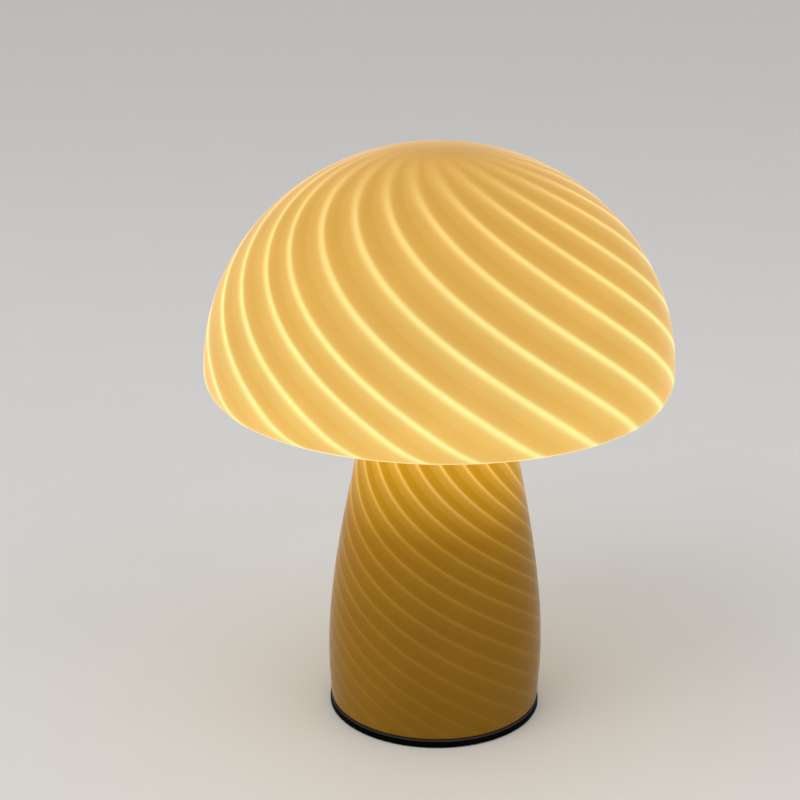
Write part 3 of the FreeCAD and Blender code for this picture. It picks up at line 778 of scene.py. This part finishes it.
def dress_cad_nodes():
    """Every node that stays as the solid has it gets its finish through its own slot."""
    finishes = {
        "black_enamel": enamel(),
        "black_rubber": rubber("rubber_black", grey(0.008), grey(0.016), 0.62),
        "foam_pad": rubber("foam_black", grey(0.012), grey(0.024), 0.85),
        "clear_silicone": silicone(),
        "cast_iron": cast_iron(),
        "zinc_steel": metal("zinc_plate", srgb(176, 180, 188), srgb(206, 208, 212), 0.30, turned=True),
        "brass": metal("brass_plain", srgb(196, 150, 78), srgb(216, 174, 98), 0.28),
        "holder_plastic": plastic("holder_black", grey(0.010), grey(0.018), 0.42),
        "bulb_cap_nickel": metal("nickel_plate", srgb(196, 192, 184), srgb(214, 210, 202), 0.20),
        "bulb_white": plastic("bulb_white_plastic", srgb(226, 224, 218), srgb(236, 234, 228), 0.30),
        "bulb_opal": bulb_globe_lit(),
        "board_white": plastic("board_solder_mask", srgb(224, 224, 220), srgb(236, 236, 232), 0.36),
        "led_yellow": plastic("phosphor", srgb(236, 200, 70), srgb(246, 214, 92), 0.5),
        "board_green": plastic("board_laminate", srgb(30, 96, 50), srgb(40, 116, 62), 0.42),
    }
    for part in frame["record"]["subparts"]:
        material = finishes.get(part["material_slot"])
        if material is None:
            continue
        mesh = frame["nodes"][part["node"]].data
        for index in range(len(mesh.materials)):
            mesh.materials[index] = material


# ---------------------------------------------------------------- stage, light and camera
# Wide enough that a view of the lamp from 15 degrees up doesn't show the floor's edge.
FLOOR_SIZE = 40.0
ROOM_LIGHT = (1.0, 0.985, 0.96, 1.0)
ROOM_LIGHT_STRENGTH = 0.62
BACKGROUND = (0.80, 0.79, 0.77, 1.0)
LIGHTS_AIM = Vector((0.0, 0.0, 0.12))
# Name, place, width and power of each lamp of the studio.
LIGHTS = (("key", (-0.9, -0.8, 1.5), 1.2, 9.0),
          ("fill", (1.1, -0.6, 1.1), 1.4, 4.0))


def build_stage():
    bpy.ops.mesh.primitive_plane_add(size=FLOOR_SIZE, location=(0, 0, 0))
    floor = bpy.context.object
    floor.name = "floor"
    nodes = Nodes("floor_pale")
    nodes.base_tones(nodes.noise(scale=14.0, detail=3.0), grey(0.765), grey(0.775))
    nodes.shader.inputs["Roughness"].default_value = 0.7
    floor.data.materials.append(nodes.material)


def build_light():
    """Soft light from all round and two area lights; the camera sees a plain background."""
    world = bpy.data.worlds.new("studio")
    world.use_nodes = True
    tree = world.node_tree
    tree.nodes.clear()
    output = tree.nodes.new("ShaderNodeOutputWorld")
    mix = tree.nodes.new("ShaderNodeMixShader")
    light = tree.nodes.new("ShaderNodeBackground")
    light.inputs[0].default_value = ROOM_LIGHT
    light.inputs[1].default_value = ROOM_LIGHT_STRENGTH
    seen = tree.nodes.new("ShaderNodeBackground")
    seen.inputs[0].default_value = BACKGROUND
    rays = tree.nodes.new("ShaderNodeLightPath")
    tree.links.new(rays.outputs["Is Camera Ray"], mix.inputs[0])
    tree.links.new(light.outputs[0], mix.inputs[1])
    tree.links.new(seen.outputs[0], mix.inputs[2])
    tree.links.new(mix.outputs[0], output.inputs[0])
    bpy.context.scene.world = world
    for name, place, size, power in LIGHTS:
        data = bpy.data.lights.new(name, "AREA")
        data.size = size
        data.energy = power
        lamp = bpy.data.objects.new(name, data)
        lamp.location = place
        aim = LIGHTS_AIM - lamp.location
        lamp.rotation_euler = aim.to_track_quat("-Z", "Y").to_euler()
        lamp.visible_glossy = False
        bpy.context.scene.collection.objects.link(lamp)


def build_camera():
    forward = Vector((math.sin(CAMERA_YAW) * math.cos(CAMERA_PITCH),
                      math.cos(CAMERA_YAW) * math.cos(CAMERA_PITCH), -math.sin(CAMERA_PITCH)))
    level = Vector((math.cos(CAMERA_YAW), -math.sin(CAMERA_YAW), 0))
    upright = level.cross(forward)
    across = level * math.cos(CAMERA_ROLL) + upright * math.sin(CAMERA_ROLL)
    up = upright * math.cos(CAMERA_ROLL) - level * math.sin(CAMERA_ROLL)
    data = bpy.data.cameras.new("camera")
    data.lens = CAMERA_LENS
    data.sensor_width = CAMERA_SENSOR
    camera = bpy.data.objects.new("camera", data)
    turn = Matrix((across, up, -forward)).transposed().to_4x4()
    camera.matrix_world = Matrix.Translation(CAMERA_PLACE) @ turn
    bpy.context.scene.collection.objects.link(camera)
    bpy.context.scene.camera = camera


build_cap()
build_stem()
dress_cad_nodes()
build_stage()
build_light()
build_camera()
bpy.context.scene.view_settings.view_transform = "Standard"
